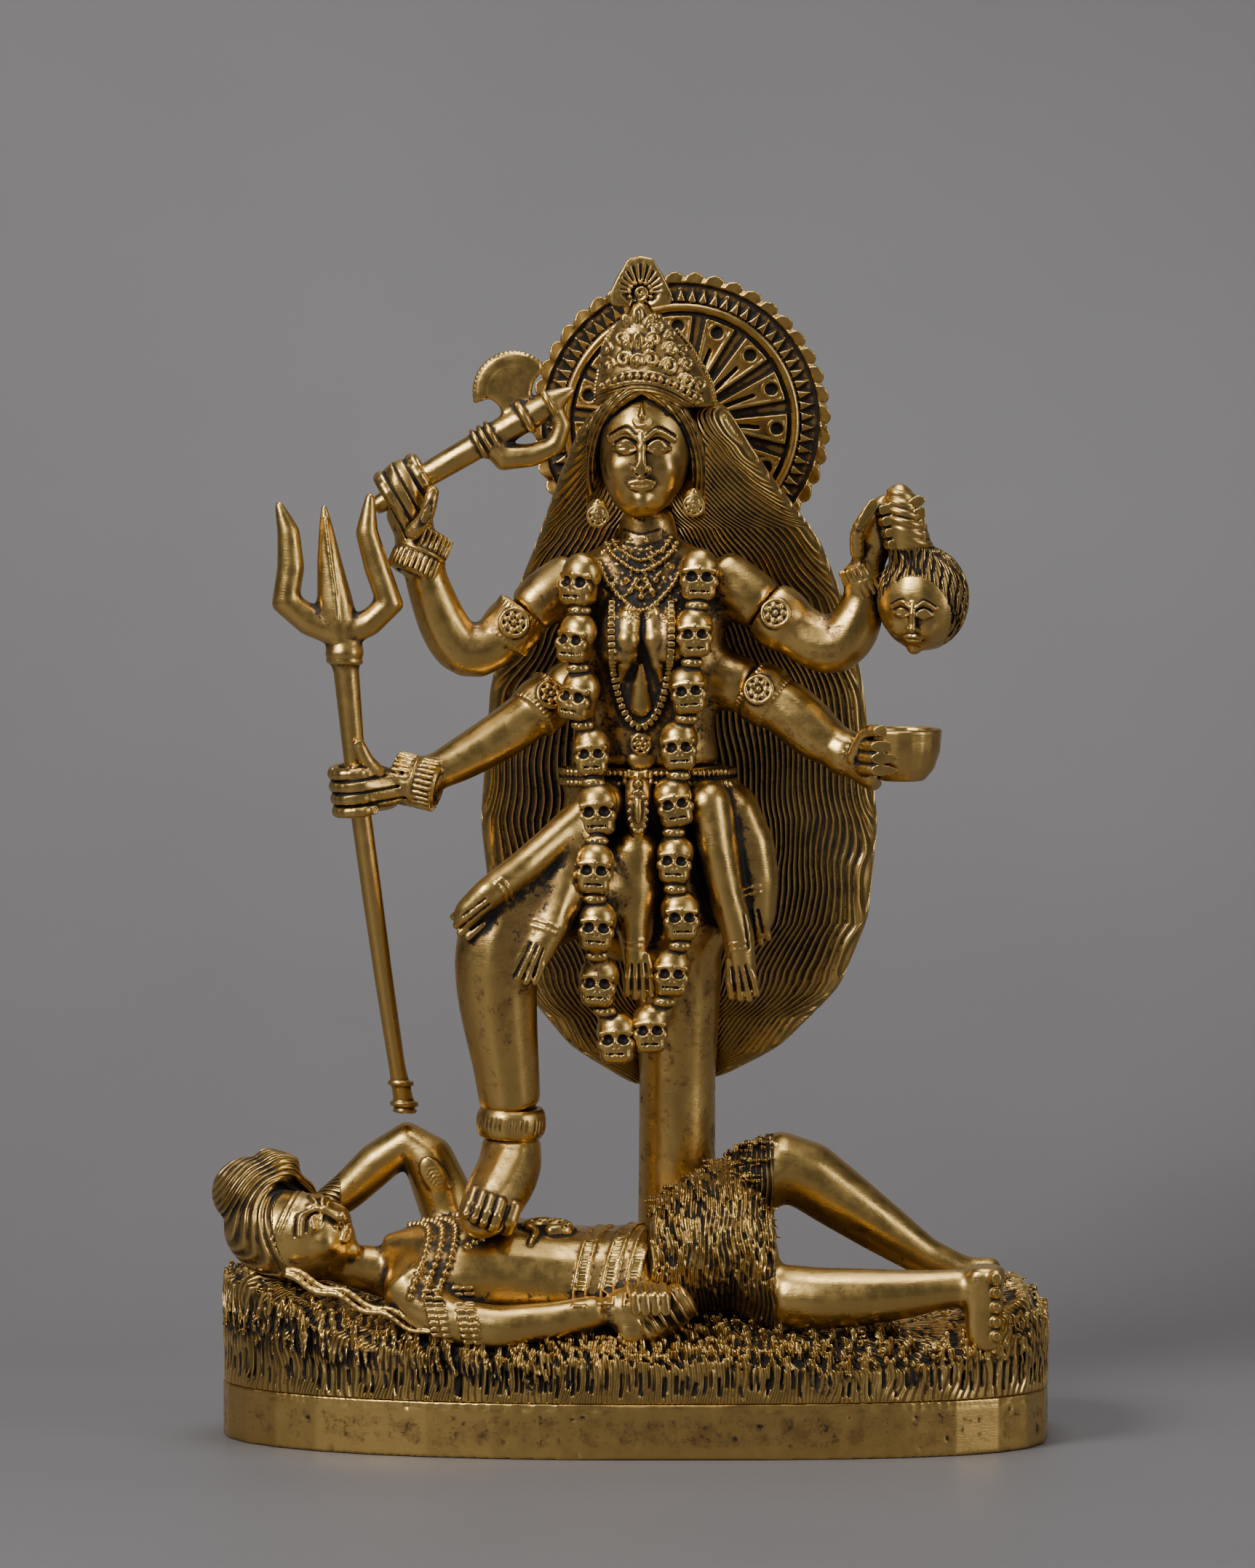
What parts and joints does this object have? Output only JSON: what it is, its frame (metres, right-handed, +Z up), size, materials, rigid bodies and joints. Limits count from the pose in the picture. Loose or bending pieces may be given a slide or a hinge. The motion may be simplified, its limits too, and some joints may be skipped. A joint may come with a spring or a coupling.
{
  "type": "brass goddess statue",
  "caption": "Cast brass statue of a many-armed goddess with a halo, long hair and weapons, one foot on a reclining god, on an oblong base.",
  "frame": {"origin": "middle of the statue's outline, on the underside of the base", "axes": "+Z up, +X to the viewer's right when facing the goddess, +Y towards the halo at the back"},
  "size_m": [0.2126, 0.092, 0.3],
  "materials": {
    "brass": "antiqued cast brass, satin on the high parts with dark brown patina in the recesses"
  },
  "bodies": {
    "root": {"anklet": "brass", "axe": "brass", "axe_armlet": "brass", "axe_bangle": "brass", "axe_forearm": "brass", "axe_hand": "brass", "axe_upper_arm": "brass", "base_plinth": "brass", "belt": "brass", "belt_pendant": "brass", "bowl": "brass", "bowl_armlet": "brass", "bowl_bangle": "brass", "bowl_forearm": "brass", "bowl_hand": "brass", "bowl_upper_arm": "brass", "crest_fan": "brass", "crown": "brass", "earring_left": "brass", "earring_right": "brass", "garland_left_strand": "brass", "garland_right_strand": "brass", "god_bent_leg": "brass", "god_hair": "brass", "god_head": "brass", "god_loincloth": "brass", "god_near_arm": "brass", "god_raised_arm": "brass", "god_straight_leg": "brass", "god_torso": "brass", "goddess_head": "brass", "goddess_hips": "brass", "goddess_raised_foot": "brass", "goddess_raised_leg": "brass", "goddess_support_leg": "brass", "goddess_torso": "brass", "hair_mantle": "brass", "halo_disc": "brass", "halo_lug": "brass", "long_necklace": "brass", "severed_head": "brass", "severed_head_armlet": "brass", "severed_head_bangle": "brass", "severed_head_forearm": "brass", "severed_head_hand": "brass", "severed_head_upper_arm": "brass", "short_necklace": "brass", "skirt_arm_centre": "brass", "skirt_arm_far_left": "brass", "skirt_arm_far_right": "brass", "skirt_arm_left": "brass", "skirt_arm_right": "brass", "straw_mat": "brass", "trident": "brass", "trident_armlet": "brass", "trident_bangle": "brass", "trident_forearm": "brass", "trident_hand": "brass", "trident_upper_arm": "brass"}
  },
  "joints": []
}
